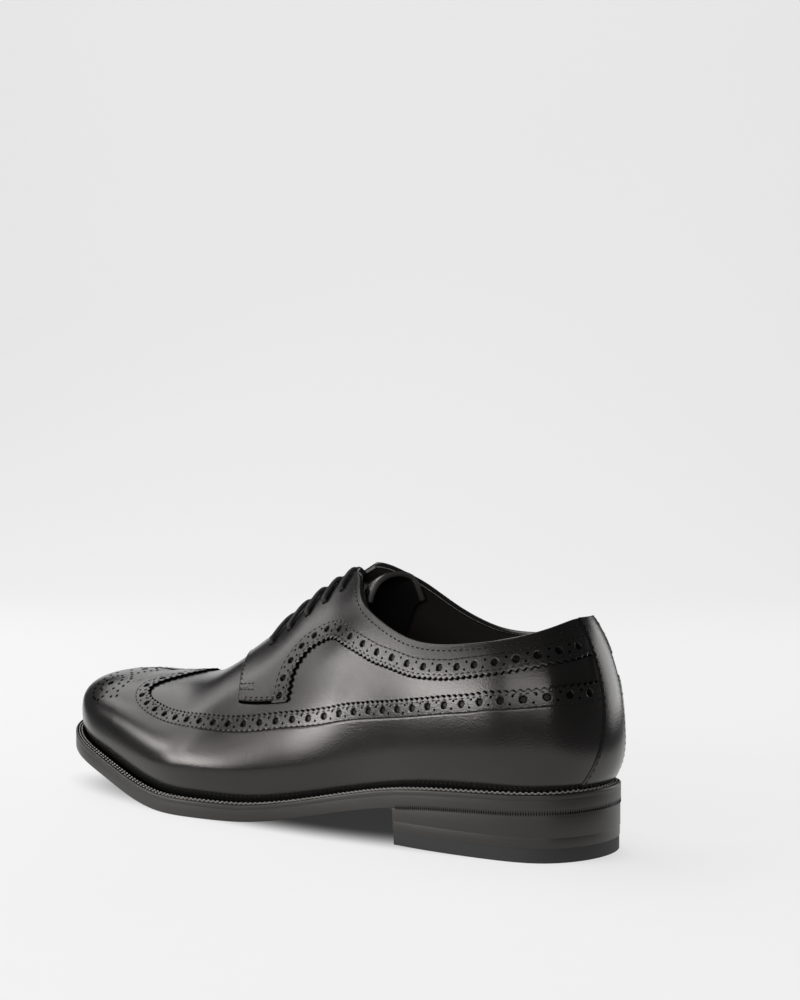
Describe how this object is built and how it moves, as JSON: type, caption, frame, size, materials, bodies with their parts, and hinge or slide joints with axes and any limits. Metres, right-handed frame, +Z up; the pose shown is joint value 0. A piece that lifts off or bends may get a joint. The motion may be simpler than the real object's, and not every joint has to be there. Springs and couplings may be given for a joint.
{
  "type": "full brogue derby shoe",
  "caption": "Black leather full brogue derby for the left foot, with long wings, straight-bar lacing, a leather sole and a stacked heel.",
  "frame": {"origin": "on the floor, under the middle of the shoe's length and width", "axes": "+X from heel to toe, +Y to the wearer's left, which is the outer side, +Z up"},
  "size_m": [0.3102, 0.1002, 0.1121],
  "materials": {
    "upper_leather": "satin",
    "sole_leather": "satin",
    "welt_leather": "satin",
    "heel_leather": "satin",
    "heel_rubber": "matte",
    "insole_leather": "matte",
    "lace": "matte"
  },
  "bodies": {
    "root": {"outsole": "sole_leather", "heel_seat_lift": "heel_leather", "heel_lift": "heel_leather", "heel_top_piece": "heel_rubber", "welt": "welt_leather", "insole": "insole_leather", "upper": "upper_leather", "wing": "upper_leather", "facing_outer": "upper_leather", "facing_inner": "upper_leather", "backstay": "upper_leather", "tongue": "upper_leather", "lace_bar_1": "lace", "lace_bar_2": "lace", "lace_bar_3": "lace", "lace_bar_4": "lace", "lace_bar_5": "lace"}
  },
  "joints": []
}
